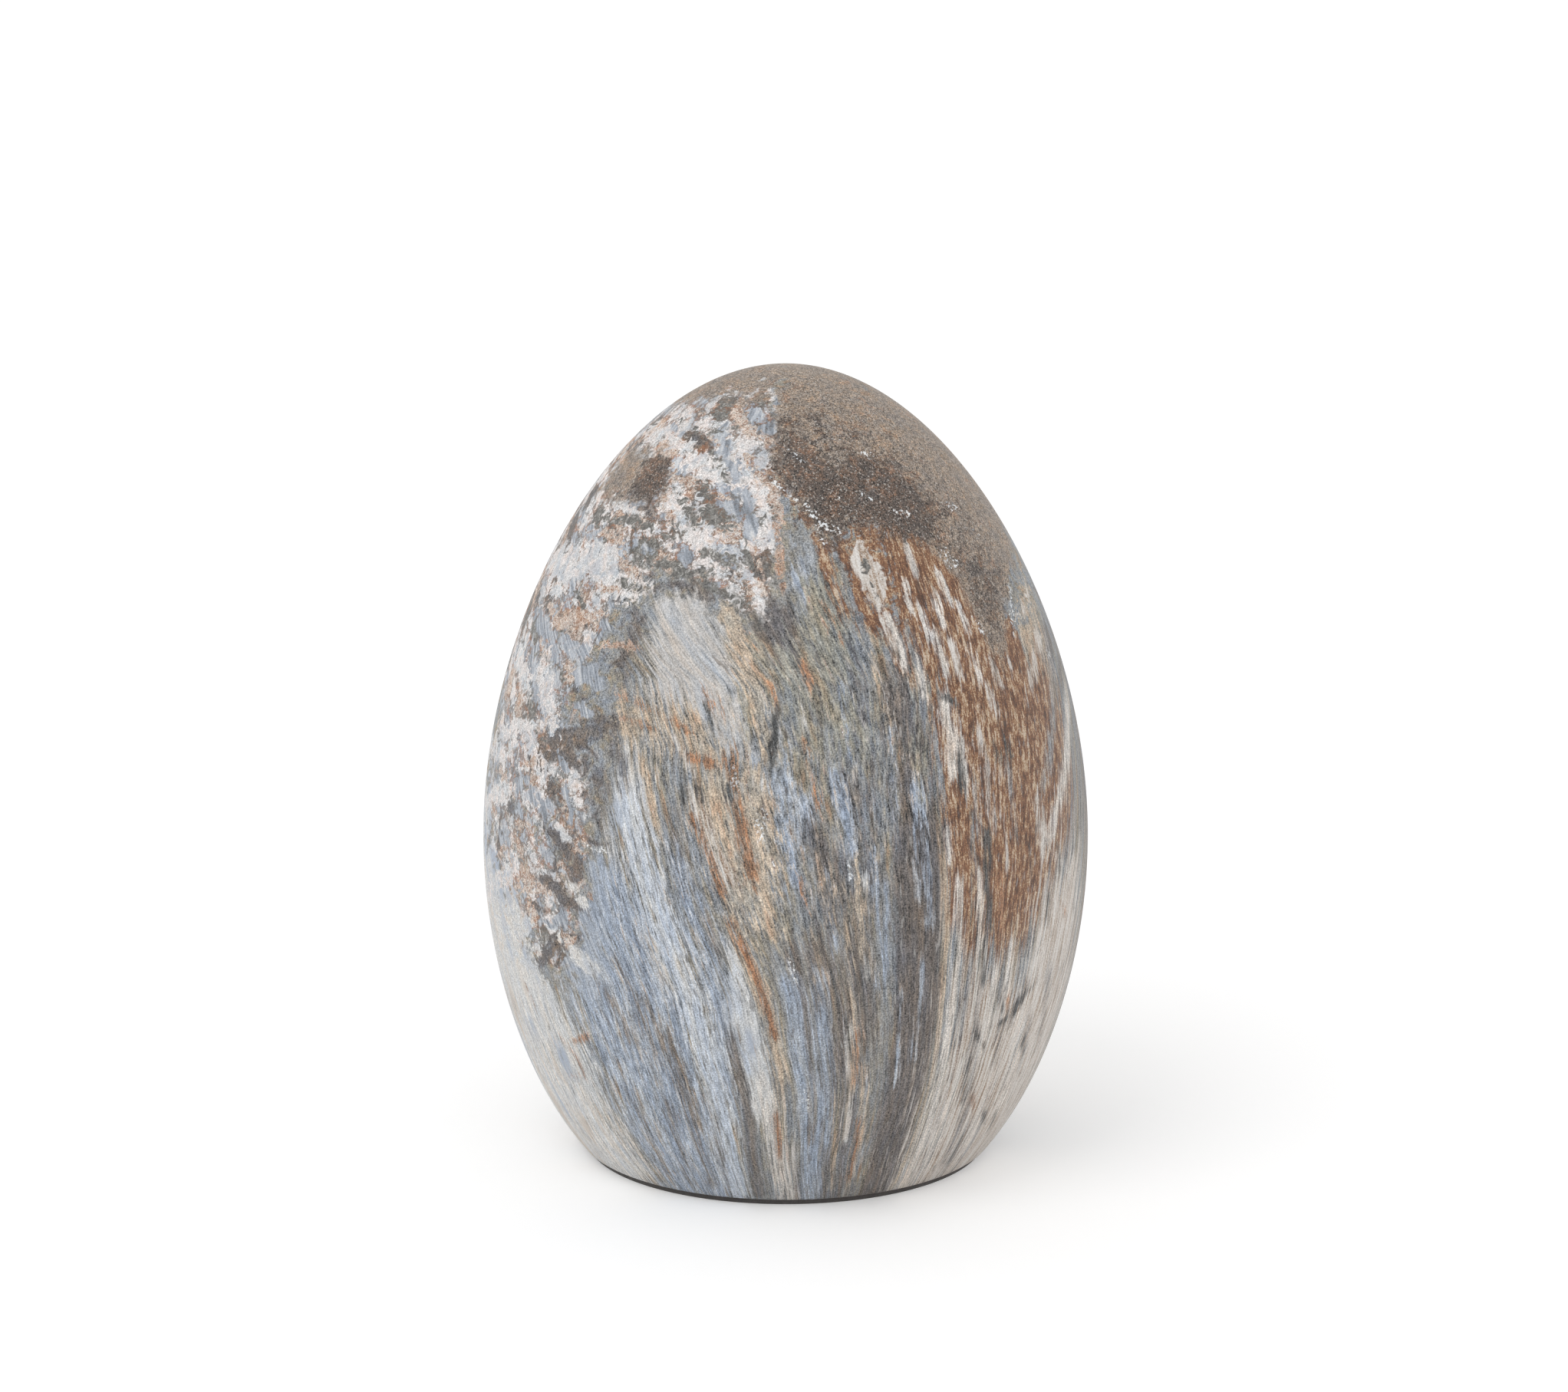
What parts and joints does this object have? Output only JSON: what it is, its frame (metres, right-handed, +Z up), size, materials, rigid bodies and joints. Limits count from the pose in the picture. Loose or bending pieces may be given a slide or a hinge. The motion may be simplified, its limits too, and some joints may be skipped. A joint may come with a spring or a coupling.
{
  "type": "decorative egg ornament",
  "caption": "Hollow egg-shaped tabletop ornament that stands on its own flat-cut base, with a matte petrified-wood pattern, a drain stopper and a thin dark base pad.",
  "frame": {"origin": "middle of the face that the egg rests on, the underside of the base pad", "axes": "+Z up along the axis of the egg, towards its crown; -Y towards the viewer of the picture"},
  "size_m": [0.1, 0.1, 0.1323],
  "materials": {
    "printed_ceramic": "matte, decorated all over with a petrified-wood pattern: brown speckled crown, pale and rust patches, blue-grey and tan streaks along the height",
    "stopper_rubber": "soft black moulded rubber",
    "pad_felt": "dark pressed felt"
  },
  "bodies": {
    "root": {"egg_shell": "printed_ceramic", "drain_stopper": "stopper_rubber", "base_pad": "pad_felt"}
  },
  "joints": []
}
